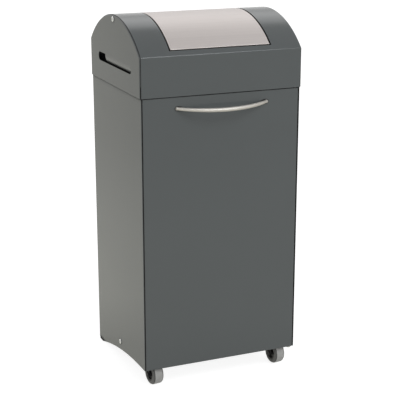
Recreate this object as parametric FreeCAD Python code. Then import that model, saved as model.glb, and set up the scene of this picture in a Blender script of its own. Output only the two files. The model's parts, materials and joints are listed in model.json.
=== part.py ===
import FreeCAD, Part
import math
import os

# Recycling bin with a lift-off hood, a swing flap, a front door and two swivel casters.
# Millimetres, +Z up, front towards -Y, viewer's left towards -X.
# The pieces are drawn about the middle of the cabinet's plan and shifted at the end,
# so that the origin lies on the floor under the middle of the whole bin.

V = FreeCAD.Vector
ORIGIN = V(0, 0, 0)
X_AXIS = V(1, 0, 0)
Y_AXIS = V(0, 1, 0)
Z_AXIS = V(0, 0, 1)

# Cabinet
cabinet_width = 474.0
cabinet_depth = 424.0
cabinet_height = 878.0
cabinet_sheet = 1.5
panel_front_bottom = 61.0
foot_length = 42.0
foot_corner_radius = 8.0
back_bottom = 60.0
back_flange = 15.0
back_flange_gap = 4.0
rail_flange = 20.0
stop_strip_width = 10.0
stop_strip_leg = 18.0
base_flange = 17.0
base_front_gap = 6.5
side_screw_setback = 210.0
side_screw_drop = 12.5

# Rear glides, plastic shoes pushed over the lower edge of the side panels' feet
glide_base = 2.0
glide_wall = 1.2
glide_height = 3.6
glide_length = 28.0

# Hood
hood_overhang = 3.0
hood_overlap = 28.0
hood_skirt_height = 110.0
hood_crown_rise = 90.0
hood_sheet = 1.5
hood_bend_radius = 5.0
hood_rim_radius = 2.4
hood_seam = 2.0
hood_flange = 14.0
hood_flange_start = 4.0
hood_rest_width = 20.0
hood_rest_leg = 16.0
hood_rest_end_gap = 25.0
hood_rest_lift = 0.2

# Grip slots in the hood's end plates, each with the sheet above bent a little inwards
grip_length = 286.0
grip_height = 25.0
grip_above_skirt = 55.0
grip_offset = -3.0
grip_tongue_tilt = 26.0
grip_tongue_bend_radius = 50.0
grip_tongue_slit = 2.0
grip_tongue_front_gap = 4.0
grip_tongue_back_gap = 62.0

# Swing flap and its axle
flap_width = 294.0
flap_half_angle = 41.4
flap_sheet = 1.2
flap_return = 5.2
flap_edge_radius = 0.9
flap_gap = 4.0
axle_radius = 4.0
axle_drop = 12.0
ear_inset = 14.0
ear_sheet = 3.0
ear_root_width = 46.0
ear_eye_wall = 4.0
bush_wall = 2.0
bush_length = 9.0
spacer_wall = 1.5
spacer_end_gap = 0.5
axle_thread_radius = 2.5
axle_thread_depth = 14.0

# Screws with low round heads and a six-sided socket
screw_head_radius = 7.5
screw_head_height = 2.8
screw_head_rounding = 2.0
screw_socket_radius = 3.0
screw_socket_depth = 1.8
side_screw_radius = 2.5
side_screw_reach = 9.0

# Door
door_bottom = 60.0
door_gap = 2.0
door_top_gap = 1.2
door_sheet = 1.2
door_tray_depth = 12.0
door_bend_radius = 2.5
door_stop_gap = 2.0
buffer_radius = 4.0
buffer_gap = 0.3
buffer_end_gap = 60.0
stiffener_width = 80.0
stiffener_depth = 9.0
stiffener_end_gap = 60.0

# Door hinge at the right edge
hinge_edge_inset = 9.0
hinge_depth = 7.0
hinge_pin_radius = 3.0
hinge_pin_head_radius = 5.0
hinge_pin_head_height = 2.0
hinge_pin_engagement = 9.0
hinge_bush_wall = 0.95
hinge_bush_flange_width = 1.2
hinge_bush_flange = 1.0
hinge_axial_gap = 0.2
hinge_rail_gap = 2.5
bracket_sheet = 2.0
bracket_half_width = 6.0
bracket_nose = 6.0

# Magnet catch and strike plate at the door's free top corner
catch_length = 45.0
catch_depth = 14.0
catch_height = 16.0
catch_side_offset = 45.0
catch_gap = 0.4
catch_corner_radius = 1.2
strike_sheet = 1.2
strike_height = 14.0
strike_margin = 3.0

# Bow handle
handle_span = 267.0
handle_projection = 38.0
handle_droop = 5.0
handle_top_offset = 32.5
handle_mid_radius = 5.8
handle_end_radius = 4.6
handle_tip_radius = 5.0
handle_screw_radius = 1.8
handle_screw_depth = 3.2
handle_screw_head_radius = 3.8
handle_screw_head_height = 2.4
handle_sections = 9

# Inner container, which stands on the base pan
container_side_gap = 13.5
container_front_gap = 15.0
container_back_gap = 15.5
container_height = 690.0
container_sheet = 1.2
container_rim = 9.0
container_floor_lift = 12.0
container_floor_flange = 9.0
container_floor_gap = 0.2

# Casters
wheel_diameter = 65.0
wheel_width = 33.0
tyre_thickness = 11.5
tyre_shoulder = 7.0
hub_setback = 1.5
hub_dish_depth = 5.0
hub_dish_rim = 4.0
hub_boss_radius = 8.0
wheel_axle_radius = 4.0
wheel_axle_head_radius = 6.5
wheel_axle_head_height = 3.0
wheel_axle_head_rounding = 1.0
caster_trail = 15.0
caster_yaw = 6.0
caster_side_inset = 42.0
caster_front_inset = 56.0
fork_sheet = 2.5
fork_wheel_gap = 2.0
fork_top_gap = 4.0
fork_crown_radius = 20.0
fork_eye_radius = 9.0
fork_leg_front = 22.0
fork_leg_back = 12.0
kingpin_radius = 5.0
kingpin_head_radius = 8.0
kingpin_head_height = 2.2
kingpin_gap = 0.3
bearing_radius = 15.0
bearing_height = 7.0
bearing_rounding = 1.75
caster_plate_sheet = 2.5
caster_plate_length = 52.0
caster_plate_width = 46.0
caster_plate_corner = 4.5
caster_bolt_radius = 2.5
caster_bolt_margin = 9.0
bolt_head_radius = 4.4
bolt_head_height = 3.5
nut_height = 4.0

# Clearances
running_clearance = 0.05
hole_clearance = 0.1

# Two lengths nearer than this count as equal when an edge is picked out
same_place = 1e-6

# Levels and places that follow from the sizes above
half_width = cabinet_width / 2
half_depth = cabinet_depth / 2
inner_half_width = half_width - cabinet_sheet
skirt_bottom = cabinet_height - hood_overlap
bend_level = skirt_bottom + hood_skirt_height
top_level = bend_level + hood_crown_rise
hood_half_width = half_width + hood_overhang
hood_half_depth = half_depth + hood_overhang
crown_radius = (hood_half_depth ** 2 + hood_crown_rise ** 2) / (2 * hood_crown_rise)
crown_centre = top_level - crown_radius
end_plate_inner = hood_half_width - hood_sheet
axle_level = top_level - axle_drop

door_front = -half_depth
door_back = door_front + door_tray_depth
door_half_width = inner_half_width - door_gap
door_top = skirt_bottom - door_top_gap
rail_bottom = door_top + hinge_rail_gap
hinge_x = door_half_width - hinge_edge_inset
hinge_y = door_front + hinge_depth
handle_level = door_top - handle_top_offset

crown_plate_bottom = wheel_diameter + fork_top_gap
crown_plate_top = crown_plate_bottom + fork_sheet
bearing_bottom = crown_plate_top + kingpin_gap
caster_plate_bottom = bearing_bottom + bearing_height
base_underside = caster_plate_bottom + caster_plate_sheet
base_top = base_underside + cabinet_sheet
base_front = door_back + base_front_gap
base_back = half_depth - cabinet_sheet
container_half_width = inner_half_width - container_side_gap
container_front = base_front + container_front_gap
container_back = base_back - container_back_gap
side_screw_y = half_depth - side_screw_setback
side_screw_level = base_underside - side_screw_drop
caster_x = half_width - caster_side_inset
caster_y = -half_depth + caster_front_inset

front_reach = half_depth + handle_projection + handle_mid_radius
plan_shift = V(0, (front_reach - hood_half_depth) / 2, 0)


# Small helpers

def box(x_low, x_high, y_low, y_high, z_low, z_high):
    size = (x_high - x_low, y_high - y_low, z_high - z_low)
    return Part.makeBox(*size, V(x_low, y_low, z_low))


def rod(radius, start, direction, length):
    return Part.makeCylinder(radius, length, start, direction)


def tube(outer_radius, inner_radius, start, direction, length):
    return rod(outer_radius, start, direction, length).cut(rod(inner_radius, start, direction, length))


def mirrored(shape):
    return shape.mirror(ORIGIN, X_AXIS)


def extruded_along_x(edges, x_low, x_high):
    face = Part.Face(Part.Wire(edges))
    face.translate(V(x_low, 0, 0))
    return face.extrude(V(x_high - x_low, 0, 0))


def line(start, end):
    return Part.makeLine(start, end)


def arc(start, middle, end):
    return Part.Arc(start, middle, end).toShape()


def circle_edges(shape, radius):
    return [edge for edge in shape.Edges
            if isinstance(edge.Curve, Part.Circle) and abs(edge.Curve.Radius - radius) < same_place]


def upright_edges(shape):
    return [edge for edge in shape.Edges if edge.BoundBox.XLength + edge.BoundBox.YLength < same_place]


def hexagon_prism(corner_radius, height):
    # Stands on the XY plane about the Z axis.
    turns = [math.radians(60 * k) for k in range(6)]
    corners = [V(corner_radius * math.cos(turn), corner_radius * math.sin(turn), 0) for turn in turns]
    return Part.Face(Part.makePolygon(corners + [corners[0]])).extrude(V(0, 0, height))


def polygon_yz(points):
    corners = [V(0, y, z) for y, z in points]
    return [line(corners[i - 1], corners[i]) for i in range(len(corners))]


def save(name, shape):
    placed = shape.copy()
    placed.translate(plan_shift)
    placed.exportStep("parts/" + name + ".step")


def save_pair(name, left_shape):
    save("left_" + name, left_shape)
    save("right_" + name, mirrored(left_shape))


# Cabinet

def side_panel():
    # Left panel: the lower edge leaves the front corner level and sweeps down to the rear foot.
    run = cabinet_depth - foot_length
    drop = panel_front_bottom - glide_base
    sweep_radius = (run ** 2 + drop ** 2) / (2 * drop)
    sweep_angle = math.asin(run / sweep_radius)
    sweep_centre = panel_front_bottom - sweep_radius

    def on_sweep(angle):
        y = -half_depth + sweep_radius * math.sin(angle)
        return V(0, y, sweep_centre + sweep_radius * math.cos(angle))

    corner = foot_corner_radius
    diagonal = corner * (1 - math.sqrt(0.5))
    front_bottom = V(0, -half_depth, panel_front_bottom)
    front_top = V(0, -half_depth, cabinet_height)
    back_top = V(0, half_depth, cabinet_height)
    back_low = V(0, half_depth, glide_base + corner)
    corner_middle = V(0, half_depth - diagonal, glide_base + diagonal)
    foot_back = V(0, half_depth - corner, glide_base)
    foot_front = on_sweep(sweep_angle)
    edges = [
        line(front_bottom, front_top),
        line(front_top, back_top),
        line(back_top, back_low),
        arc(back_low, corner_middle, foot_back),
        line(foot_back, foot_front),
        arc(foot_front, on_sweep(sweep_angle / 2), front_bottom),
    ]
    panel = extruded_along_x(edges, -half_width, -inner_half_width)
    hole_start = V(-half_width, side_screw_y, side_screw_level)
    return panel.cut(rod(side_screw_radius + hole_clearance, hole_start, X_AXIS, cabinet_sheet))


def rear_glide(panel):
    # Left glide: a block round the foot, with the panel's own shape cut out of it.
    back = half_depth - foot_corner_radius
    x_low = -half_width - glide_wall
    x_high = -inner_half_width + glide_wall
    return box(x_low, x_high, back - glide_length, back, 0, glide_height).cut(panel)


def back_panel():
    inner_face = half_depth - cabinet_sheet
    sheet = box(-inner_half_width, inner_half_width, inner_face, half_depth, back_bottom, cabinet_height)
    side_bottom = base_top + back_flange_gap
    left_flange = box(-inner_half_width, -inner_half_width + cabinet_sheet,
                      inner_face - back_flange, inner_face, side_bottom, cabinet_height)
    return sheet.fuse([left_flange, mirrored(left_flange)]).removeSplitter()


def base_pan():
    # Floor plate with a flange turned down along all four sides.
    flange_bottom = base_underside - base_flange
    outside = box(-inner_half_width, inner_half_width, base_front, base_back, flange_bottom, base_top)
    inside = box(-inner_half_width + cabinet_sheet, inner_half_width - cabinet_sheet,
                 base_front + cabinet_sheet, base_back - cabinet_sheet, flange_bottom, base_underside)
    pan = outside.cut(inside)
    screw_start = V(-inner_half_width, side_screw_y, side_screw_level)
    pan = pan.cut(rod(side_screw_radius + hole_clearance, screw_start, X_AXIS, 2 * inner_half_width))
    holes = [rod(caster_bolt_radius + hole_clearance, V(x, y, base_underside), Z_AXIS, cabinet_sheet)
             for side in (-1, 1) for x, y in caster_bolt_places(side)]
    return pan.cut(holes)


def top_front_rail():
    # Channel between the side panels, above the door and behind the hood's skirt.
    outside = box(-inner_half_width, inner_half_width, door_front, door_front + rail_flange,
                  rail_bottom, cabinet_height)
    inside = box(-inner_half_width, inner_half_width, door_front + cabinet_sheet, door_front + rail_flange,
                 rail_bottom + cabinet_sheet, cabinet_height - cabinet_sheet)
    pin_hole = rod(hinge_pin_radius, V(hinge_x, hinge_y, rail_bottom), Z_AXIS, cabinet_sheet)
    return outside.cut(inside).cut(pin_hole)


def door_stop_strip():
    # Angle on the left side panel that the door's free edge shuts against.
    stop_face = door_back + door_stop_gap
    outer = -inner_half_width
    stop = box(outer, outer + stop_strip_width, stop_face, stop_face + cabinet_sheet, base_top, rail_bottom)
    leg = box(outer, outer + cabinet_sheet, stop_face, stop_face + stop_strip_leg, base_top, rail_bottom)
    return stop.fuse(leg).removeSplitter()


def door_buffers():
    stop_face = door_back + door_stop_gap
    x = -inner_half_width + stop_strip_width / 2
    thickness = door_stop_gap - buffer_gap
    levels = (base_top + buffer_end_gap, door_top - buffer_end_gap)
    return Part.makeCompound([rod(buffer_radius, V(x, stop_face, z), -Y_AXIS, thickness) for z in levels])


def round_head(radius, height, rounding, seat):
    # Low head on the left of its seat, with the rim of its outer face rounded.
    head = rod(radius, seat, -X_AXIS, height)
    rim = [edge for edge in circle_edges(head, radius) if abs(edge.CenterOfMass.x - seat.x) > height / 2]
    return head.makeFillet(rounding, rim)


def screw_pair(seat, shank_radius, shank_length):
    # One screw in the left side and its mirror image in the right.
    head = round_head(screw_head_radius, screw_head_height, screw_head_rounding, seat)
    left = head.fuse(rod(shank_radius, seat, X_AXIS, shank_length)).removeSplitter()
    socket = hexagon_prism(screw_socket_radius, screw_socket_depth)
    socket.rotate(ORIGIN, Y_AXIS, 90)
    socket.translate(seat - X_AXIS * screw_head_height)
    left = left.cut(socket)
    return Part.makeCompound([left, mirrored(left)])


def side_screws():
    return screw_pair(V(-half_width, side_screw_y, side_screw_level), side_screw_radius, side_screw_reach)


def container_block(inset, z_low, z_high):
    half = container_half_width - inset
    return box(-half, half, container_front + inset, container_back - inset, z_low, z_high)


def container_walls():
    # Four walls folded from one sheet, with a turned-out rim.
    top = base_top + container_height
    walls = container_block(0, base_top, top)
    rim = container_block(-container_rim, top - container_sheet, top)
    return walls.fuse(rim).cut(container_block(container_sheet, base_top, top)).removeSplitter()


def container_floor():
    # Tray with its edges turned down, held between the walls a little above their lower edge.
    edge = container_sheet + container_floor_gap
    underside = base_top + container_floor_lift
    low = underside - container_floor_flange
    tray = container_block(edge, low, underside + container_sheet)
    return tray.cut(container_block(edge + container_sheet, low, underside))


# Door, its hinge and its catch

def door_panel():
    # Shallow tray, open at the back, with rounded front edges.
    def rounded_block(inset, radius, back):
        block = box(-door_half_width + inset, door_half_width - inset, door_front + inset, back,
                    door_bottom + inset, door_top - inset)
        front_edges = [edge for edge in block.Edges
                       if abs(edge.CenterOfMass.y - (door_front + inset)) < same_place]
        return block.makeFillet(radius, front_edges)

    tray = rounded_block(0, door_bend_radius, door_back)
    tray = tray.cut(rounded_block(door_sheet, door_bend_radius - door_sheet, door_back))
    hole_radius = hinge_pin_radius + running_clearance + hinge_bush_wall
    bush_holes = [rod(hole_radius, V(hinge_x, hinge_y, z), Z_AXIS, door_sheet)
                  for z in (door_bottom, door_top - door_sheet)]
    screw_hole_radius = handle_screw_radius + hole_clearance
    screw_holes = [rod(screw_hole_radius, V(x, door_front, handle_level), Y_AXIS, door_sheet)
                   for x in handle_ends()]
    return tray.cut(bush_holes + screw_holes)


def door_stiffener():
    # Upright channel behind the middle of the door's sheet.
    front = door_front + door_sheet
    back = front + stiffener_depth
    half = stiffener_width / 2
    low = door_bottom + stiffener_end_gap
    high = door_top - stiffener_end_gap
    outside = box(-half, half, front, back, low, high)
    return outside.cut(box(-half + door_sheet, half - door_sheet, front, back - door_sheet, low, high))


def handle_ends():
    return (-handle_span / 2, handle_span / 2)


def door_handle():
    # Bow of round bar with ball ends, thickest in the middle, in a plane that droops a little from the door.
    droop_angle = math.atan2(handle_droop, handle_projection)
    bow_depth = math.hypot(handle_projection, handle_droop)
    half_span = handle_span / 2
    bow_radius = (half_span ** 2 + bow_depth ** 2) / (2 * bow_depth)
    half_angle = math.asin(half_span / bow_radius)
    sections = []
    for i in range(handle_sections):
        share = 2 * i / (handle_sections - 1) - 1
        angle = half_angle * share
        radius = handle_end_radius + (handle_mid_radius - handle_end_radius) * math.cos(share * math.pi / 2)
        circle = Part.Wire(Part.makeCircle(radius, ORIGIN, X_AXIS))
        circle.rotate(ORIGIN, Z_AXIS, math.degrees(angle))
        outwards = bow_radius * math.cos(angle) - (bow_radius - bow_depth)
        circle.translate(V(bow_radius * math.sin(angle), -outwards, 0))
        sections.append(circle)
    bow = Part.makeLoft(sections, True)
    bow.rotate(ORIGIN, X_AXIS, math.degrees(droop_angle))
    bow.translate(V(0, door_front, handle_level))
    tips = [Part.makeSphere(handle_tip_radius, V(x, door_front, handle_level)) for x in handle_ends()]
    handle = bow.fuse(tips)
    behind = box(-handle_span, handle_span, door_front, door_front + door_tray_depth,
                 handle_level - handle_span, handle_level + handle_span)
    holes = [rod(handle_screw_radius + hole_clearance, V(x, door_front, handle_level), -Y_AXIS,
                 handle_screw_depth + hole_clearance) for x in handle_ends()]
    return handle.cut([behind] + holes).removeSplitter()


def handle_screws():
    inner_face = door_front + door_sheet
    screws = []
    for x in handle_ends():
        head = rod(handle_screw_head_radius, V(x, inner_face, handle_level), Y_AXIS, handle_screw_head_height)
        shank = rod(handle_screw_radius, V(x, inner_face, handle_level), -Y_AXIS,
                    door_sheet + handle_screw_depth)
        screws.append(head.fuse(shank).removeSplitter())
    return Part.makeCompound(screws)


def hinge_bush(flange_level, upwards):
    # The flange lies outside the door's return, between the door and the pin's carrier.
    direction = Z_AXIS * (1 if upwards else -1)
    start = V(hinge_x, hinge_y, flange_level)
    bore = hinge_pin_radius + running_clearance
    barrel = tube(bore + hinge_bush_wall, bore, start, -direction, door_sheet + hinge_bush_flange)
    flange = tube(bore + hinge_bush_wall + hinge_bush_flange_width, bore, start, direction, hinge_bush_flange)
    return barrel.fuse(flange).removeSplitter()


def upper_hinge_pin():
    top = rail_bottom + cabinet_sheet
    shank_length = top - (door_top - hinge_pin_engagement)
    head = rod(hinge_pin_head_radius, V(hinge_x, hinge_y, top), Z_AXIS, hinge_pin_head_height)
    shank = rod(hinge_pin_radius, V(hinge_x, hinge_y, top), -Z_AXIS, shank_length)
    return head.fuse(shank).removeSplitter()


def bracket_top():
    return door_bottom - hinge_bush_flange - hinge_axial_gap


def lower_hinge_bracket():
    # Tab under the door's lower edge, turned up behind the base pan's front flange.
    high = bracket_top()
    low = high - bracket_sheet
    leg_front = base_front + cabinet_sheet
    leg_back = leg_front + bracket_sheet
    left = hinge_x - bracket_half_width
    right = hinge_x + bracket_half_width
    tab = box(left, right, hinge_y, leg_back, low, high)
    nose = rod(bracket_nose, V(hinge_x, hinge_y, low), Z_AXIS, bracket_sheet)
    leg = box(left, right, leg_front, leg_back, low, base_underside)
    hole = rod(hinge_pin_radius, V(hinge_x, hinge_y, low), Z_AXIS, bracket_sheet)
    return tab.fuse([nose, leg]).removeSplitter().cut(hole)


def lower_hinge_pin():
    low = bracket_top() - bracket_sheet
    return rod(hinge_pin_radius, V(hinge_x, hinge_y, low), Z_AXIS, door_bottom + hinge_pin_engagement - low)


def catch_left():
    return -door_half_width + catch_side_offset


def magnet_catch():
    # Hangs under the rail, just behind the door.
    front = door_back + catch_gap
    body = box(catch_left(), catch_left() + catch_length, front, front + catch_depth,
               rail_bottom - catch_height, rail_bottom)
    return body.makeFillet(catch_corner_radius, upright_edges(body))


def strike_plate():
    # Angle under the door's top return, with its face in the tray's open back.
    high = door_top - door_sheet
    left = catch_left() + strike_margin
    right = catch_left() + catch_length - strike_margin
    face = box(left, right, door_back - strike_sheet, door_back, high - strike_height, high)
    leg = box(left, right, door_front + door_bend_radius, door_back, high - strike_sheet, high)
    return face.fuse(leg).removeSplitter()


# Hood

def hood_outline(inset):
    # Front skirt, crown and back skirt in the YZ plane, as seen from the end and set in by a distance.
    half = hood_half_depth - inset
    radius = crown_radius - inset
    bend = hood_bend_radius - inset
    bend_y = half - bend
    bend_z = crown_centre + math.sqrt((radius - bend) ** 2 - bend_y ** 2)
    away = math.atan2(bend_y, bend_z - crown_centre)

    def bend_point(angle):
        return V(0, -bend_y - bend * math.sin(angle), bend_z + bend * math.cos(angle))

    def crown_point(angle):
        return V(0, radius * math.sin(angle), crown_centre + radius * math.cos(angle))

    foot = V(0, -half, skirt_bottom)
    front_skirt = line(foot, bend_point(math.pi / 2))
    front_bend = arc(bend_point(math.pi / 2), bend_point((away + math.pi / 2) / 2), crown_point(-away))
    crown = arc(crown_point(-away), crown_point(0), crown_point(away))
    back_bend = front_bend.mirror(ORIGIN, Y_AXIS)
    back_skirt = front_skirt.mirror(ORIGIN, Y_AXIS)
    return [front_skirt, front_bend, crown, back_bend, back_skirt]


def filled_outline(inset, x_low, x_high):
    half = hood_half_depth - inset
    closing = line(V(0, half, skirt_bottom), V(0, -half, skirt_bottom))
    edges = Part.__sortEdges__(hood_outline(inset) + [closing])
    return extruded_along_x(edges, x_low, x_high)


def crown_sector(half_angle, outer_radius, inner_radius, x_low, x_high):
    # Part of a ring about the crown's centre line, the same angle to the front and to the back.
    def point(radius, angle):
        return V(0, radius * math.sin(angle), crown_centre + radius * math.cos(angle))

    edges = [
        arc(point(outer_radius, -half_angle), point(outer_radius, 0), point(outer_radius, half_angle)),
        line(point(outer_radius, half_angle), point(inner_radius, half_angle)),
        arc(point(inner_radius, half_angle), point(inner_radius, 0), point(inner_radius, -half_angle)),
        line(point(inner_radius, -half_angle), point(outer_radius, -half_angle)),
    ]
    return extruded_along_x(edges, x_low, x_high)


def flap_angle():
    return math.radians(flap_half_angle)


def hood_shell():
    half = end_plate_inner - hood_seam
    shell = filled_outline(0, -half, half).cut(filled_outline(hood_sheet, -half, half))
    opening_half = flap_width / 2 + flap_gap
    opening_angle = flap_angle() + flap_gap / crown_radius
    opening = crown_sector(opening_angle, crown_radius + hood_sheet, crown_radius - 2 * hood_sheet,
                           -opening_half, opening_half)
    return shell.cut(opening)


def grip_centre():
    return skirt_bottom + grip_above_skirt + grip_height / 2


def grip_slot(x_low, x_high):
    # Long hole with round ends.
    half = (grip_length - grip_height) / 2
    radius = grip_height / 2
    middle = grip_centre()
    straight = box(x_low, x_high, grip_offset - half, grip_offset + half, middle - radius, middle + radius)
    ends = [rod(radius, V(x_low, y, middle), X_AXIS, x_high - x_low)
            for y in (grip_offset - half, grip_offset + half)]
    return straight.fuse(ends).removeSplitter()


def grip_tongue():
    # The sheet above the left slot, bent inwards at its root and straight below.
    # It leaves a slit under its lower edge and the slot's back end open for the fingers.
    top = grip_centre() + grip_height / 2
    tilt = math.radians(grip_tongue_tilt)
    bend_x = -hood_half_width + grip_tongue_bend_radius
    bend_drop = grip_tongue_bend_radius * math.sin(tilt)
    leaf = (grip_height - grip_tongue_slit - bend_drop) / math.cos(tilt)
    leaf_run = V(leaf * math.sin(tilt), 0, -leaf * math.cos(tilt))

    def on_bend(angle, depth):
        reach = grip_tongue_bend_radius - depth
        return V(bend_x - reach * math.cos(angle), 0, top - reach * math.sin(angle))

    outer_end = on_bend(tilt, 0) + leaf_run
    inner_end = on_bend(tilt, hood_sheet) + leaf_run
    edges = [
        arc(on_bend(0, 0), on_bend(tilt / 2, 0), on_bend(tilt, 0)),
        line(on_bend(tilt, 0), outer_end),
        line(outer_end, inner_end),
        line(inner_end, on_bend(tilt, hood_sheet)),
        arc(on_bend(tilt, hood_sheet), on_bend(tilt / 2, hood_sheet), on_bend(0, hood_sheet)),
        line(on_bend(0, hood_sheet), on_bend(0, 0)),
    ]
    front = grip_offset - grip_length / 2 + grip_tongue_front_gap
    back = grip_offset + grip_length / 2 - grip_tongue_back_gap
    face = Part.Face(Part.Wire(edges))
    face.translate(V(0, front, 0))
    return face.extrude(V(0, back - front, 0))


def hood_end():
    # Left end plate whose rim is bent round and runs in under the shell's edge.
    flange_end = -end_plate_inner + hood_flange
    block = filled_outline(hood_sheet, -hood_half_width, flange_end)
    rim = [edge for edge in block.Edges
           if abs(edge.CenterOfMass.x + hood_half_width) < same_place
           and edge.CenterOfMass.z > skirt_bottom + same_place]
    block = block.makeFillet(hood_rim_radius, rim)
    inside = filled_outline(2 * hood_sheet, -end_plate_inner, flange_end)
    below = box(-end_plate_inner, flange_end, -hood_half_depth, hood_half_depth,
                skirt_bottom, cabinet_height + hood_flange_start)
    end = block.cut([inside, below, grip_slot(-hood_half_width, -end_plate_inner)])
    end = end.fuse(grip_tongue()).removeSplitter()
    screw_start = V(-hood_half_width, 0, axle_level)
    return end.cut(rod(axle_thread_radius + hole_clearance, screw_start, X_AXIS, hood_sheet))


def hood_rest():
    # Left angle strip that carries the hood on the side panel's upper edge.
    low = cabinet_height + hood_rest_lift
    reach = half_depth - hood_rest_end_gap
    outer = -end_plate_inner
    shelf = box(outer, outer + hood_rest_width, -reach, reach, low, low + hood_sheet)
    leg = box(outer, outer + hood_sheet, -reach, reach, low, low + hood_rest_leg)
    return shelf.fuse(leg).removeSplitter()


def flap_axle():
    # Rod between the end plates, tapped at both ends.
    bar = rod(axle_radius, V(-end_plate_inner, 0, axle_level), X_AXIS, 2 * end_plate_inner)
    left_thread = rod(axle_thread_radius + hole_clearance, V(-end_plate_inner, 0, axle_level), X_AXIS,
                      axle_thread_depth + hole_clearance)
    return bar.cut([left_thread, mirrored(left_thread)])


def axle_screws():
    return screw_pair(V(-hood_half_width, 0, axle_level), axle_thread_radius, hood_sheet + axle_thread_depth)


def ear_outer():
    return flap_width / 2 - flap_sheet - ear_inset


def bush_half_overhang():
    return (bush_length - ear_sheet) / 2


def axle_spacer():
    # Left sleeve on the rod, between the end plate and the flap's bush.
    start = -end_plate_inner
    end = -ear_outer() - bush_half_overhang() - spacer_end_gap
    bore = axle_radius + hole_clearance
    return tube(bore + spacer_wall, bore, V(start, 0, axle_level), X_AXIS, end - start)


# Flap

def flap_panel():
    # Curved tray with its edges turned inwards, flush with the hood's crown.
    half = flap_width / 2
    angle = flap_angle()
    inner_angle = angle - flap_sheet / crown_radius
    block = crown_sector(angle, crown_radius, crown_radius - flap_return, -half, half)
    outside = [edge for edge in block.Edges
               if all(abs(math.hypot(corner.Y, corner.Z - crown_centre) - crown_radius) < same_place
                      for corner in edge.Vertexes)]
    block = block.makeFillet(flap_edge_radius, outside)
    inside = crown_sector(inner_angle, crown_radius - flap_sheet, crown_radius - 2 * flap_return,
                          -half + flap_sheet, half - flap_sheet)
    return block.cut(inside)


def flap_ear():
    # Left lug: wide where it meets the panel, round about the axle.
    bush_radius = axle_radius + running_clearance + bush_wall
    eye_radius = bush_radius + ear_eye_wall
    left = -ear_outer()
    right = left + ear_sheet
    root = ear_root_width / 2
    blade_outline = polygon_yz([
        (-root, top_level), (root, top_level),
        (eye_radius, axle_level), (-eye_radius, axle_level)])
    blade = extruded_along_x(blade_outline, left, right)
    eye = rod(eye_radius, V(left, 0, axle_level), X_AXIS, ear_sheet)
    under_panel = rod(crown_radius - flap_sheet, V(left, 0, crown_centre), X_AXIS, ear_sheet)
    bore = rod(bush_radius, V(left, 0, axle_level), X_AXIS, ear_sheet)
    return blade.fuse(eye).common(under_panel).cut(bore)


def flap_bush():
    bore = axle_radius + running_clearance
    start = -ear_outer() - bush_half_overhang()
    return tube(bore + bush_wall, bore, V(start, 0, axle_level), X_AXIS, bush_length)


# Casters, drawn about the swivel axis with the wheel towards the front and then turned

def caster_bolt_places(side):
    half_length = caster_plate_length / 2 - caster_bolt_margin
    half_span = caster_plate_width / 2 - caster_bolt_margin
    return [(side * caster_x + dx, caster_y + dy)
            for dx in (-half_length, half_length) for dy in (-half_span, half_span)]


def caster_plate(side):
    x = side * caster_x
    half_length = caster_plate_length / 2
    half_span = caster_plate_width / 2
    plate = box(x - half_length, x + half_length, caster_y - half_span, caster_y + half_span,
                caster_plate_bottom, base_underside)
    plate = plate.makeFillet(caster_plate_corner, upright_edges(plate))
    hole_radius = caster_bolt_radius + hole_clearance
    holes = [rod(hole_radius, V(bolt_x, bolt_y, caster_plate_bottom), Z_AXIS, caster_plate_sheet)
             for bolt_x, bolt_y in caster_bolt_places(side)]
    return plate.cut(holes)


def caster_bolts():
    bolts = []
    for side in (-1, 1):
        for x, y in caster_bolt_places(side):
            head = rod(bolt_head_radius, V(x, y, base_top), Z_AXIS, bolt_head_height)
            length = cabinet_sheet + caster_plate_sheet + nut_height
            shank = rod(caster_bolt_radius, V(x, y, base_top), -Z_AXIS, length)
            bolts.append(head.fuse(shank).removeSplitter())
    return Part.makeCompound(bolts)


def caster_nuts():
    nuts = []
    for side in (-1, 1):
        for x, y in caster_bolt_places(side):
            nut = hexagon_prism(bolt_head_radius, nut_height)
            nut = nut.cut(rod(caster_bolt_radius + hole_clearance, ORIGIN, Z_AXIS, nut_height))
            nut.translate(V(x, y, caster_plate_bottom - nut_height))
            nuts.append(nut)
    return Part.makeCompound(nuts)


def caster_kingpin(side):
    place = V(side * caster_x, caster_y, caster_plate_bottom)
    head_top = crown_plate_bottom - kingpin_gap
    shank = rod(kingpin_radius, place, -Z_AXIS, caster_plate_bottom - head_top)
    head_start = V(side * caster_x, caster_y, head_top)
    return shank.fuse(rod(kingpin_head_radius, head_start, -Z_AXIS, kingpin_head_height)).removeSplitter()


def swivel_bearing(side):
    start = V(side * caster_x, caster_y, bearing_bottom)
    ring = tube(bearing_radius, kingpin_radius + hole_clearance, start, Z_AXIS, bearing_height)
    lower_rim = [edge for edge in circle_edges(ring, bearing_radius)
                 if abs(edge.CenterOfMass.z - bearing_bottom) < same_place]
    return ring.makeFillet(bearing_rounding, lower_rim)


def turned_to_place(shape, side):
    turned = shape.copy()
    turned.rotate(ORIGIN, Z_AXIS, caster_yaw)
    turned.translate(V(side * caster_x, caster_y, 0))
    return turned


def wheel_centre():
    return V(0, -caster_trail, wheel_diameter / 2)


def fork_inner():
    return wheel_width / 2 + fork_wheel_gap


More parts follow.
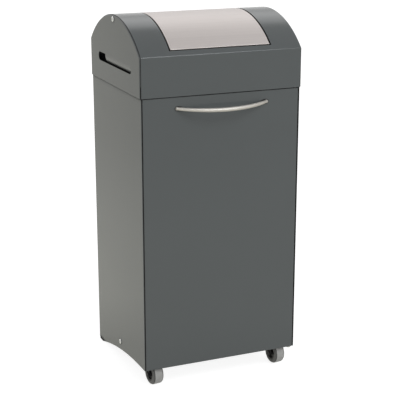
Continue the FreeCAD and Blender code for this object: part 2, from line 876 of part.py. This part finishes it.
def caster_fork():
    # Crown plate with two legs that reach forward to the wheel's axle.
    inner = fork_inner()
    outer = inner + fork_sheet
    axle_z = wheel_diameter / 2
    crown = rod(fork_crown_radius, V(0, 0, crown_plate_bottom), Z_AXIS, fork_sheet)
    bridge = box(-outer, outer, -fork_leg_front, fork_leg_back, crown_plate_bottom, crown_plate_top)
    leg_outline = polygon_yz([
        (-fork_leg_front, crown_plate_top), (fork_leg_back, crown_plate_top),
        (-caster_trail + fork_eye_radius, axle_z), (-caster_trail - fork_eye_radius, axle_z)])
    left_leg = extruded_along_x(leg_outline, -outer, -inner)
    left_leg = left_leg.fuse(rod(fork_eye_radius, V(-outer, -caster_trail, axle_z), X_AXIS, fork_sheet))
    fork = crown.fuse([bridge, left_leg, mirrored(left_leg)]).removeSplitter()
    king_hole = rod(kingpin_radius + running_clearance, V(0, 0, crown_plate_bottom), Z_AXIS, fork_sheet)
    axle_start = V(-outer, -caster_trail, axle_z)
    axle_hole = rod(wheel_axle_radius + running_clearance, axle_start, X_AXIS, 2 * outer)
    return fork.cut([king_hole, axle_hole])


def wheel_axle():
    outer = fork_inner() + fork_sheet
    centre = wheel_centre()
    seat = centre - X_AXIS * outer
    shank = rod(wheel_axle_radius, seat, X_AXIS, 2 * outer)
    left_head = round_head(wheel_axle_head_radius, wheel_axle_head_height, wheel_axle_head_rounding, seat)
    return shank.fuse([left_head, mirrored(left_head)]).removeSplitter()


def hub_radius():
    return wheel_diameter / 2 - tyre_thickness


def wheel_hub():
    # Disc with a dished face on each side and a boss round the axle.
    half = wheel_width / 2 - hub_setback
    boss_half = wheel_width / 2
    centre = wheel_centre()
    disc = rod(hub_radius(), centre - X_AXIS * half, X_AXIS, 2 * half)
    boss = rod(hub_boss_radius, centre - X_AXIS * boss_half, X_AXIS, 2 * boss_half)
    dish_radius = hub_radius() - hub_dish_rim
    left_dish = tube(dish_radius, hub_boss_radius, centre - X_AXIS * half, X_AXIS, hub_dish_depth)
    hub = disc.cut([left_dish, mirrored(left_dish)]).fuse(boss).removeSplitter()
    bore_start = centre - X_AXIS * boss_half
    return hub.cut(rod(wheel_axle_radius + running_clearance, bore_start, X_AXIS, 2 * boss_half))


def wheel_tyre():
    half = wheel_width / 2
    centre = wheel_centre()
    ring = tube(wheel_diameter / 2, hub_radius(), centre - X_AXIS * half, X_AXIS, wheel_width)
    return ring.makeFillet(tyre_shoulder, circle_edges(ring, wheel_diameter / 2))


# Build and write every piece

os.makedirs("parts", exist_ok=True)

left_panel = side_panel()
save_pair("side_panel", left_panel)
save_pair("rear_glide", rear_glide(left_panel))
save("back_panel", back_panel())
save("base_pan", base_pan())
save("top_front_rail", top_front_rail())
save("door_stop_strip", door_stop_strip())
save("door_buffers", door_buffers())
save("side_screws", side_screws())
save("container_walls", container_walls())
save("container_floor", container_floor())

save("door_panel", door_panel())
save("door_stiffener", door_stiffener())
save("door_handle", door_handle())
save("handle_screws", handle_screws())
save("strike_plate", strike_plate())
save("magnet_catch", magnet_catch())
save("upper_hinge_bush", hinge_bush(door_top, True))
save("lower_hinge_bush", hinge_bush(door_bottom, False))
save("upper_hinge_pin", upper_hinge_pin())
save("lower_hinge_pin", lower_hinge_pin())
save("lower_hinge_bracket", lower_hinge_bracket())

save("hood_shell", hood_shell())
save_pair("hood_end", hood_end())
save_pair("hood_rest", hood_rest())
save("flap_axle", flap_axle())
save("axle_screws", axle_screws())
save_pair("axle_spacer", axle_spacer())

save("flap_panel", flap_panel())
save_pair("flap_ear", flap_ear())
save_pair("flap_bush", flap_bush())

save("caster_bolts", caster_bolts())
save("caster_nuts", caster_nuts())
for side_name, side in (("left", -1), ("right", 1)):
    save(side_name + "_caster_plate", caster_plate(side))
    save(side_name + "_caster_kingpin", caster_kingpin(side))
    save(side_name + "_swivel_bearing", swivel_bearing(side))
    save(side_name + "_caster_fork", turned_to_place(caster_fork(), side))
    save(side_name + "_wheel_axle", turned_to_place(wheel_axle(), side))
    save(side_name + "_wheel_hub", turned_to_place(wheel_hub(), side))
    save(side_name + "_wheel_tyre", turned_to_place(wheel_tyre(), side))
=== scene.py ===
import json
import math

import bpy
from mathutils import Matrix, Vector

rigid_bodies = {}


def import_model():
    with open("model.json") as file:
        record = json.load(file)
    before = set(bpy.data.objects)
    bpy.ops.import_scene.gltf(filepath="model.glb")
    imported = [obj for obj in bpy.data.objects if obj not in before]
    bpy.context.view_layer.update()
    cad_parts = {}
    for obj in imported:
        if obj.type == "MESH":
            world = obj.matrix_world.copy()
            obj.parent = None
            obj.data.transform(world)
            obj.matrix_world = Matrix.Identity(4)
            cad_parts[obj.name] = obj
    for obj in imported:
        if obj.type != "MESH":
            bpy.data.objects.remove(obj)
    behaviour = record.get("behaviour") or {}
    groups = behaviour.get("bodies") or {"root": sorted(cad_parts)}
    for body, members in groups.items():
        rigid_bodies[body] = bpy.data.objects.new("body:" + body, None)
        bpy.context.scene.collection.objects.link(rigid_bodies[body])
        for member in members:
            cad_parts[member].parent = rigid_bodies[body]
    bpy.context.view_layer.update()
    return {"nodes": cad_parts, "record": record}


# Recycling bin: finishes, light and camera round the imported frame.
# Metres, +Z up, door towards -Y, viewer's left towards -X.

for leftover in list(bpy.data.objects):
    bpy.data.objects.remove(leftover)

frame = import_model()
nodes = frame["nodes"]
scene = bpy.context.scene

# Colours as linear values
anthracite = (0.080, 0.087, 0.088)
# Painted highlight on the coat's rounded edges
anthracite_edge_highlight = (0.096, 0.103, 0.104)
# Painted shade in the coat's seams and corners
anthracite_shaded = (0.012, 0.012, 0.011)
stainless = (0.470, 0.435, 0.421)
satin_nickel = (0.490, 0.470, 0.438)
bright_zinc = (0.780, 0.785, 0.790)
dull_zinc = (0.420, 0.425, 0.420)
spangle_dark = (0.430, 0.445, 0.460)
spangle_light = (0.530, 0.545, 0.560)
tyre_grey = (0.250, 0.248, 0.240)
tyre_scuffed = (0.330, 0.328, 0.318)
tyre_side = (0.130, 0.129, 0.124)
tyre_shoulder_dark = (0.050, 0.050, 0.048)
soft_black = (0.012, 0.012, 0.013)
# A lighter black: a random tone on moulded parts, and the painted highlight on the fork's rounded edges
black_dust_and_edge_highlight = (0.030, 0.030, 0.029)
nylon = (0.640, 0.620, 0.560)
nylon_shaded = (0.520, 0.500, 0.440)
white = (1.0, 1.0, 1.0)
warm_white = (1.0, 0.995, 0.880)

# Noise: its layers of detail, its scale where brushing stretches it, and where most of its values lie
grain_detail = 2.0
cloud_detail = 3.0
marks_detail = 3.0
marks_scale = 1.0
bands_detail = 1.0
bands_scale = 0.12
noise_span = (0.25, 0.75)

# Painted edge highlight and seam shade: samples, and the agreement of normals and the openness where they
# show
edge_samples = 4
edge_shows = (0.995, 0.80)
seam_shade_samples = 8
seam_shade_shows = (0.97, 0.70)

# Powder coat: grain and cloud per metre, relief, rounded edge and reach of the painted seam shade in
# metres
coat_grain = 700.0
coat_cloud = 4.0
coat_relief = 0.00005
coat_edge = 0.0007
wide_seam_shade = 0.014
narrow_seam_shade = 0.005
cloud_lightening = 1.08
coat_specular = 0.27
body_roughness = (0.14, 0.20)
inner_roughness = (0.42, 0.52)
fork_roughness = (0.40, 0.52)
seam_roughness = 0.95

# Brushed metal: marks per metre along each axis, relief and rounded edge in metres
along_width = (14.0, 1600.0, 1600.0)
brushed_relief = 0.00002
brushed_edge = 0.0006
band_darkening = 0.90
flap_roughness = (0.42, 0.52)
handle_roughness = (0.52, 0.62)

# Plated steel: grain and cloud per metre, relief and rounded edge in metres
plated_grain = 1800.0
plated_cloud = 60.0
plated_relief = 0.00001
plated_edge = 0.0003
screw_roughness = (0.18, 0.32)
zinc_roughness = (0.26, 0.42)

# Galvanised sheet: crystals and grain per metre, relief and rounded edge in metres
spangle_scale = 85.0
galvanised_grain = 1200.0
galvanised_relief = 0.00002
galvanised_edge = 0.0005
spangle_roughness = (0.42, 0.58)

# Plastic and rubber: grain and cloud per metre, relief and rounded edge in metres
plastic_grain = 1500.0
tyre_grain = 1100.0
moulded_cloud = 45.0
plastic_relief = 0.00004
bush_relief = 0.00003
tyre_relief = 0.00005
moulded_edge = 0.0004
hub_roughness = (0.42, 0.55)
tyre_roughness = (0.48, 0.62)
bush_roughness = (0.38, 0.50)
dark_plastic_roughness = (0.45, 0.60)
buffer_roughness = (0.65, 0.80)

# Tyres: the wheel axles' direction, and how far the surface has turned towards it where the dark line
# on the shoulder begins and ends
axle_way = next(joint["axis"] for joint in frame["record"]["behaviour"]["joints"]
                if joint["name"] == "left_wheel_spin")
shoulder_start = (0.20, 0.40)
shoulder_end = (0.60, 0.80)

# Camera: the photograph's viewing angle, in degrees and metres
view_turn = 22.60
view_tilt = 16.30
view_distance = 3.350
view_aim = Vector((0.0, 0.0204, 0.5))
aim_right = 0.0202
aim_up = -0.0121
focal_in_pixels = 1120.0
frame_in_pixels = 400.0
sensor_width = 36.0

# Studio: brightness of its walls, its ceiling and the lit band on its back wall, the elevations in
# degrees where the band's lower and upper edges begin and end, and how far round to the back it fades in
wall_level = 0.95
ceiling_level = 0.86
light_band_level = 2.20
light_band_foot = (20.0, 38.0)
light_band_head = (48.0, 54.0)
light_band_turn = (-0.1, 0.4)

# Share of the studio's brightness that lights by bounce, away from its open front and towards it, the
# way to that front, and how near to it the share starts and stops rising
bounce_share = 0.44
front_share = 1.95
front_way = (0.58, -0.78, -0.23)
front_spread = (0.2, 0.9)

# A tall softbox to the right of the front, which shows only in gloss: the way to its middle, its half
# sizes along each axis, where its edge begins and ends in parts of them, and how far it outshines the wall
softbox_way = (0.184, -0.864, 0.469)
softbox_half_sizes = (0.22, 0.50, 0.35)
softbox_edge = (0.6, 1.2)
softbox_level = 6.0

# Lamp: its place and aim, its size in metres and its power in watts
lamp_place = Vector((1.1, -2.26, 2.84))
lamp_aim = Vector((0.0, -0.2, 0.6))
lamp_width = 0.90
lamp_height = 1.35
lamp_power = 26.0
lamp_colour = (0.92, 0.97, 1.0)

# Floor: its half size in metres, and its colours where light bounces and where the bin's shadow shows
floor_half = 30.0
floor_bounce = (0.84, 0.84, 0.84)
floor_shadow = (0.42, 0.42, 0.42)

# Brightness of the floor where the camera sees it, and where the bin mirrors it: a painted shadow at its
# own foot, a painted pool of light near by that dims far off, with the distances in metres between which
# each gives way to the next
floor_seen = 0.87
floor_foot_shadow = 0.68
floor_near = 0.88
floor_far = 0.62
floor_contact_shadow = (0.25, 0.75)
floor_fade = (0.4, 3.4)

# A ray is of a kind or not
no_to_yes = (0.0, 1.0)


# Steps that join nodes

def feed(tree, source, socket):
    # Links a node's output to a socket, or sets a plain value or an opaque colour on it.
    if isinstance(source, bpy.types.NodeSocket):
        tree.links.new(source, socket)
    elif socket.type == "RGBA":
        socket.default_value = (*source, 1.0)
    else:
        socket.default_value = source


def calculate(tree, kind, operation, *sources):
    # One step of arithmetic with numbers or vectors.
    step = tree.nodes.new(kind)
    step.operation = operation
    for source, socket in zip(sources, step.inputs):
        feed(tree, source, socket)
    return next(socket for socket in step.outputs if socket.enabled)


def blend(tree, kind, mask, first, second):
    mix = tree.nodes.new("ShaderNodeMix")
    mix.data_type = kind
    feed(tree, mask, mix.inputs["Factor"])
    feed(tree, first, mix.inputs["A"])
    feed(tree, second, mix.inputs["B"])
    return mix.outputs["Result"]


def blend_colours(tree, mask, first, second):
    return blend(tree, "RGBA", mask, first, second)


def blend_values(tree, mask, first, second):
    return blend(tree, "FLOAT", mask, first, second)


def ranged(tree, value, edge, below, above, curve="LINEAR"):
    # Goes from one level to the next between the two ends of an edge.
    span = tree.nodes.new("ShaderNodeMapRange")
    span.interpolation_type = curve
    span.inputs["From Min"].default_value = edge[0]
    span.inputs["From Max"].default_value = edge[1]
    feed(tree, value, span.inputs["Value"])
    feed(tree, below, span.inputs["To Min"])
    feed(tree, above, span.inputs["To Max"])
    return span.outputs["Result"]


def eased(tree, value, edge, below, above):
    return ranged(tree, value, edge, below, above, "SMOOTHSTEP")


def spread(tree, noise, levels):
    return ranged(tree, noise, noise_span, *levels)


def noise_on(tree, coordinates, detail, scale):
    noise = tree.nodes.new("ShaderNodeTexNoise")
    noise.inputs["Detail"].default_value = detail
    feed(tree, coordinates, noise.inputs["Vector"])
    feed(tree, scale, noise.inputs["Scale"])
    return noise.outputs["Fac"]


def object_place(tree):
    return tree.nodes.new("ShaderNodeTexCoord").outputs["Object"]


# Shader groups that several finishes share

def start_group(name, inputs, outputs):
    tree = bpy.data.node_groups.new(name, "ShaderNodeTree")
    for way, sockets in (("INPUT", inputs), ("OUTPUT", outputs)):
        for label, kind in sockets.items():
            tree.interface.new_socket(label, in_out=way, socket_type=kind)
    return tree, tree.nodes.new("NodeGroupInput").outputs, tree.nodes.new("NodeGroupOutput").inputs


def surface_grain_group():
    # Fine grain for relief and a slow cloud for colour and gloss, both per metre.
    tree, given, result = start_group(
        "surface_grain",
        {"Grain Scale": "NodeSocketFloat", "Cloud Scale": "NodeSocketFloat"},
        {"Grain": "NodeSocketFloat", "Cloud": "NodeSocketFloat"})
    place = object_place(tree)
    feed(tree, noise_on(tree, place, grain_detail, given["Grain Scale"]), result["Grain"])
    feed(tree, noise_on(tree, place, cloud_detail, given["Cloud Scale"]), result["Cloud"])
    return tree


def brush_marks_group():
    # Fine scratches drawn out along one axis of the object, and broader bands along the same axis.
    tree, given, result = start_group(
        "brush_marks",
        {"Stretch": "NodeSocketVector"},
        {"Marks": "NodeSocketFloat", "Bands": "NodeSocketFloat"})
    stretched = calculate(tree, "ShaderNodeVectorMath", "MULTIPLY", object_place(tree), given["Stretch"])
    feed(tree, noise_on(tree, stretched, marks_detail, marks_scale), result["Marks"])
    feed(tree, noise_on(tree, stretched, bands_detail, bands_scale), result["Bands"])
    return tree


def rounded_edge_group():
    # A normal that rolls over sharp edges, and a mask of where it does.
    tree, given, result = start_group(
        "rounded_edge",
        {"Radius": "NodeSocketFloat"},
        {"Normal": "NodeSocketVector", "Edge": "NodeSocketFloat"})
    bevel = tree.nodes.new("ShaderNodeBevel")
    bevel.samples = edge_samples
    feed(tree, given["Radius"], bevel.inputs["Radius"])
    rolled = bevel.outputs["Normal"]
    flat = tree.nodes.new("ShaderNodeNewGeometry").outputs["Normal"]
    agreement = calculate(tree, "ShaderNodeVectorMath", "DOT_PRODUCT", rolled, flat)
    feed(tree, rolled, result["Normal"])
    feed(tree, ranged(tree, agreement, edge_shows, 0.0, 1.0), result["Edge"])
    return tree


def crease_shade_group():
    # A mask of painted shade, one deep in seams and corners where nearby surfaces shut out light, nought
    # in the open.
    tree, given, result = start_group(
        "crease_shade",
        {"Reach": "NodeSocketFloat"},
        {"Crease Shade": "NodeSocketFloat"})
    openness = tree.nodes.new("ShaderNodeAmbientOcclusion")
    openness.samples = seam_shade_samples
    feed(tree, given["Reach"], openness.inputs["Distance"])
    feed(tree, ranged(tree, openness.outputs["AO"], seam_shade_shows, 0.0, 1.0), result["Crease Shade"])
    return tree


surface_grain = surface_grain_group()
brush_marks = brush_marks_group()
rounded_edge = rounded_edge_group()
crease_shade = crease_shade_group()


# Finishes

def start_finish(name):
    material = bpy.data.materials.new(name)
    material.use_nodes = True
    tree = material.node_tree
    return material, tree, tree.nodes["Principled BSDF"]


def lay_group(tree, group, values):
    placed = tree.nodes.new("ShaderNodeGroup")
    placed.node_tree = group
    for label, value in values.items():
        placed.inputs[label].default_value = value
    return placed.outputs


def dress(tree, shader, tone, roughness, height, depth, normal):
    # Gives a finish's shader its tone, its roughness and its relief.
    relief = tree.nodes.new("ShaderNodeBump")
    relief.inputs["Distance"].default_value = depth
    feed(tree, height, relief.inputs["Height"])
    feed(tree, normal, relief.inputs["Normal"])
    feed(tree, tone, shader.inputs["Base Color"])
    feed(tree, roughness, shader.inputs["Roughness"])
    feed(tree, relief.outputs["Normal"], shader.inputs["Normal"])


def powder_coat(name, colour, edge_highlight_colour, seam_shade_colour, seam_shade_reach, roughness):
    material, tree, shader = start_finish(name)
    grain = lay_group(tree, surface_grain, {"Grain Scale": coat_grain, "Cloud Scale": coat_cloud})
    edge = lay_group(tree, rounded_edge, {"Radius": coat_edge})
    seam_shade = lay_group(tree, crease_shade, {"Reach": seam_shade_reach})
    lighter = tuple(cloud_lightening * value for value in colour)
    coat = blend_colours(tree, grain["Cloud"], colour, lighter)
    # Rounded edges lightened: a painted highlight
    coat = blend_colours(tree, edge["Edge"], coat, edge_highlight_colour)
    # Seams and corners darkened with painted shade, their gloss dulled as well
    coat = blend_colours(tree, seam_shade["Crease Shade"], coat, seam_shade_colour)
    gloss = blend_values(tree, seam_shade["Crease Shade"], spread(tree, grain["Cloud"], roughness), seam_roughness)
    shader.inputs["Specular IOR Level"].default_value = coat_specular
    dress(tree, shader, coat, gloss, grain["Grain"], coat_relief, edge["Normal"])
    return material


def brushed_metal(name, colour, stretch, roughness):
    material, tree, shader = start_finish(name)
    brushing = lay_group(tree, brush_marks, {"Stretch": stretch})
    edge = lay_group(tree, rounded_edge, {"Radius": brushed_edge})
    darker = tuple(band_darkening * value for value in colour)
    tone = blend_colours(tree, brushing["Bands"], darker, colour)
    gloss = spread(tree, brushing["Marks"], roughness)
    shader.inputs["Metallic"].default_value = 1.0
    dress(tree, shader, tone, gloss, brushing["Marks"], brushed_relief, edge["Normal"])
    return material


def plated_steel(name, dull_colour, colour, roughness):
    material, tree, shader = start_finish(name)
    grain = lay_group(tree, surface_grain, {"Grain Scale": plated_grain, "Cloud Scale": plated_cloud})
    edge = lay_group(tree, rounded_edge, {"Radius": plated_edge})
    tone = blend_colours(tree, grain["Cloud"], dull_colour, colour)
    gloss = spread(tree, grain["Cloud"], roughness)
    shader.inputs["Metallic"].default_value = 1.0
    dress(tree, shader, tone, gloss, grain["Grain"], plated_relief, edge["Normal"])
    return material


def galvanised_sheet(name):
    # Zinc crystals of about a centimetre, each a little lighter or darker.
    material, tree, shader = start_finish(name)
    crystals = tree.nodes.new("ShaderNodeTexVoronoi")
    crystals.inputs["Scale"].default_value = spangle_scale
    feed(tree, object_place(tree), crystals.inputs["Vector"])
    shade = tree.nodes.new("ShaderNodeSeparateColor")
    feed(tree, crystals.outputs["Color"], shade.inputs["Color"])
    grain = lay_group(tree, surface_grain, {"Grain Scale": galvanised_grain})
    edge = lay_group(tree, rounded_edge, {"Radius": galvanised_edge})
    tone = blend_colours(tree, shade.outputs["Red"], spangle_dark, spangle_light)
    gloss = spread(tree, shade.outputs["Green"], spangle_roughness)
    shader.inputs["Metallic"].default_value = 1.0
    dress(tree, shader, tone, gloss, grain["Grain"], galvanised_relief, edge["Normal"])
    return material


def moulded(name, colour, second_colour, roughness, grain_scale, depth, shaded=None):
    # Plastic and rubber: a fine moulded grain with a slow change of tone.
    material, tree, shader = start_finish(name)
    grain = lay_group(tree, surface_grain, {"Grain Scale": grain_scale, "Cloud Scale": moulded_cloud})
    edge = lay_group(tree, rounded_edge, {"Radius": moulded_edge})
    tone = blend_colours(tree, grain["Cloud"], colour, second_colour)
    if shaded:
        tone = shaded(tree, tone)
    gloss = spread(tree, grain["Cloud"], roughness)
    dress(tree, shader, tone, gloss, grain["Grain"], depth, edge["Normal"])
    return material


def tyre_shoulders(tree, tread):
    # A dark line round each shoulder of the pale tread, and darker side walls.
    normal = tree.nodes.new("ShaderNodeTexCoord").outputs["Normal"]
    sideways = calculate(tree, "ShaderNodeVectorMath", "DOT_PRODUCT", normal, axle_way)
    facing = calculate(tree, "ShaderNodeMath", "ABSOLUTE", sideways)
    tone = blend_colours(tree, eased(tree, facing, shoulder_start, 0.0, 1.0), tread, tyre_shoulder_dark)
    return blend_colours(tree, eased(tree, facing, shoulder_end, 0.0, 1.0), tone, tyre_side)


# Coats: base colour, a lighter colour for the painted edge highlight, a darker one for the painted seam
# shade
painted = (anthracite, anthracite_edge_highlight, anthracite_shaded)
fork_painted = (soft_black, black_dust_and_edge_highlight, soft_black)
zinc_plated = (dull_zinc, bright_zinc)
black_moulded = (soft_black, black_dust_and_edge_highlight)
black_grain = (plastic_grain, plastic_relief)
recipes = {
    "body_paint": (powder_coat, *painted, wide_seam_shade, body_roughness),
    "door_paint": (powder_coat, *painted, narrow_seam_shade, body_roughness),
    "inner_paint": (powder_coat, *painted, wide_seam_shade, inner_roughness),
    "flap_steel": (brushed_metal, stainless, along_width, flap_roughness),
    "handle_steel": (brushed_metal, satin_nickel, along_width, handle_roughness),
    "screw_steel": (plated_steel, *zinc_plated, screw_roughness),
    "galvanised": (galvanised_sheet,),
    "zinc_steel": (plated_steel, *zinc_plated, zinc_roughness),
    "fork_black": (powder_coat, *fork_painted, wide_seam_shade, fork_roughness),
    "hub_plastic": (moulded, *black_moulded, hub_roughness, *black_grain),
    "tyre_rubber": (moulded, tyre_grey, tyre_scuffed, tyre_roughness, tyre_grain, tyre_relief,
                    tyre_shoulders),
    "bush_plastic": (moulded, nylon_shaded, nylon, bush_roughness, plastic_grain, bush_relief),
    "dark_plastic": (moulded, *black_moulded, dark_plastic_roughness, *black_grain),
    "buffer_rubber": (moulded, *black_moulded, buffer_roughness, *black_grain),
}
finishes = {name: make(name, *look) for name, (make, *look) in recipes.items()}

# The door has the body's paint, with less painted shade about its edges and its handle
own_finish = {"door_panel": "door_paint"}
for subpart in frame["record"]["subparts"]:
    materials = nodes[subpart["node"]].data.materials
    materials.clear()
    materials.append(finishes[own_finish.get(subpart["node"], subpart["material_slot"])])


# Floor and surroundings

def ray_kind(tree, label):
    return tree.nodes.new("ShaderNodeLightPath").outputs[label]


def seen_ray(tree):
    # One where the camera, a reflection or a clear piece looks, and nought where light only bounces.
    seen = ray_kind(tree, "Is Camera Ray")
    for label in ("Is Glossy Ray", "Is Transmission Ray"):
        seen = calculate(tree, "ShaderNodeMath", "MAXIMUM", seen, ray_kind(tree, label))
    return seen


def floor_finish():
    # White to the eye with the bin's shadow on it; where the bin mirrors it, a painted shadow at its foot
    # and a painted pool of light that dims far off.
    material = bpy.data.materials.new("floor_white")
    material.use_nodes = True
    tree = material.node_tree
    tree.nodes.clear()
    bounce = tree.nodes.new("ShaderNodeBsdfDiffuse")
    feed(tree, floor_bounce, bounce.inputs["Color"])
    shadow = tree.nodes.new("ShaderNodeBsdfDiffuse")
    feed(tree, floor_shadow, shadow.inputs["Color"])
    place = tree.nodes.new("ShaderNodeNewGeometry").outputs["Position"]
    reach = calculate(tree, "ShaderNodeVectorMath", "LENGTH", place)
    # Where the bin mirrors the floor: painted shadow at its foot, a painted pool of light near by, dimmer
    # far off
    mirrored_foot_shadow = eased(tree, reach, floor_contact_shadow, floor_foot_shadow, floor_near)
    mirrored_light_pool = eased(tree, reach, floor_fade, mirrored_foot_shadow, floor_far)
    glossy = ray_kind(tree, "Is Glossy Ray")
    glow = tree.nodes.new("ShaderNodeEmission")
    feed(tree, eased(tree, glossy, no_to_yes, floor_seen, mirrored_light_pool), glow.inputs["Strength"])
    feed(tree, blend_colours(tree, glossy, white, warm_white), glow.inputs["Color"])
    shown = tree.nodes.new("ShaderNodeAddShader")
    feed(tree, shadow.outputs["BSDF"], shown.inputs[0])
    feed(tree, glow.outputs["Emission"], shown.inputs[1])
    choice = tree.nodes.new("ShaderNodeMixShader")
    feed(tree, seen_ray(tree), choice.inputs["Fac"])
    feed(tree, bounce.outputs["BSDF"], choice.inputs[1])
    feed(tree, shown.outputs["Shader"], choice.inputs[2])
    result = tree.nodes.new("ShaderNodeOutputMaterial")
    feed(tree, choice.outputs["Shader"], result.inputs["Surface"])
    return material


def lay_floor():
    corners = [(-floor_half, -floor_half, 0), (floor_half, -floor_half, 0),
               (floor_half, floor_half, 0), (-floor_half, floor_half, 0)]
    mesh = bpy.data.meshes.new("floor")
    mesh.from_pydata(corners, [], [(0, 1, 2, 3)])
    mesh.materials.append(floor_finish())
    floor = bpy.data.objects.new("floor", mesh)
    scene.collection.objects.link(floor)


def heights(elevations):
    return [math.sin(math.radians(angle)) for angle in elevations]


def softbox(tree, way):
    offset = calculate(tree, "ShaderNodeVectorMath", "SUBTRACT", way, softbox_way)
    scaled = calculate(tree, "ShaderNodeVectorMath", "DIVIDE", offset, softbox_half_sizes)
    reach = calculate(tree, "ShaderNodeVectorMath", "LENGTH", scaled)
    return eased(tree, reach, softbox_edge, softbox_level, 1.0)


def set_surroundings():
    # A studio with a lit band across its back wall, high up. The camera itself sees plain white.
    world = bpy.data.worlds.new("studio")
    scene.world = world
    world.use_nodes = True
    tree = world.node_tree
    way = tree.nodes.new("ShaderNodeTexCoord").outputs["Generated"]
    parts = tree.nodes.new("ShaderNodeSeparateXYZ")
    feed(tree, way, parts.inputs["Vector"])
    band = eased(tree, parts.outputs["Y"], light_band_turn, wall_level, light_band_level)
    walls = eased(tree, parts.outputs["Z"], heights(light_band_foot), wall_level, band)
    room = eased(tree, parts.outputs["Z"], heights(light_band_head), walls, ceiling_level)
    towards_front = calculate(tree, "ShaderNodeVectorMath", "DOT_PRODUCT", way, front_way)
    bounced = eased(tree, towards_front, front_spread, bounce_share, front_share)
    share = ranged(tree, seen_ray(tree), no_to_yes, bounced, softbox(tree, way))
    strength = calculate(tree, "ShaderNodeMath", "MULTIPLY", room, share)
    background = tree.nodes["Background"]
    feed(tree, white, background.inputs["Color"])
    feed(tree, eased(tree, ray_kind(tree, "Is Camera Ray"), no_to_yes, strength, 1.0),
         background.inputs["Strength"])


def hang_lamp():
    lamp = bpy.data.lights.new("front_light", "AREA")
    lamp.shape = "RECTANGLE"
    lamp.size = lamp_width
    lamp.size_y = lamp_height
    lamp.energy = lamp_power
    lamp.color = lamp_colour
    hung = bpy.data.objects.new("front_light", lamp)
    scene.collection.objects.link(hung)
    hung.location = lamp_place
    hung.rotation_euler = (lamp_aim - lamp_place).to_track_quat("-Z", "Y").to_euler()


def set_camera():
    turn = math.radians(view_turn)
    tilt = math.radians(view_tilt)
    back = Vector((-math.sin(turn) * math.cos(tilt), -math.cos(turn) * math.cos(tilt), math.sin(tilt)))
    right = Vector((math.cos(turn), -math.sin(turn), 0.0))
    up = back.cross(right)
    lens = bpy.data.cameras.new("camera")
    lens.sensor_width = sensor_width
    lens.lens = focal_in_pixels / frame_in_pixels * sensor_width
    camera = bpy.data.objects.new("camera", lens)
    scene.collection.objects.link(camera)
    camera.location = view_aim + back * view_distance + right * aim_right + up * aim_up
    camera.rotation_euler = (-back).to_track_quat("-Z", "Y").to_euler()
    scene.camera = camera


lay_floor()
set_surroundings()
hang_lamp()
set_camera()
scene.view_settings.view_transform = "Standard"
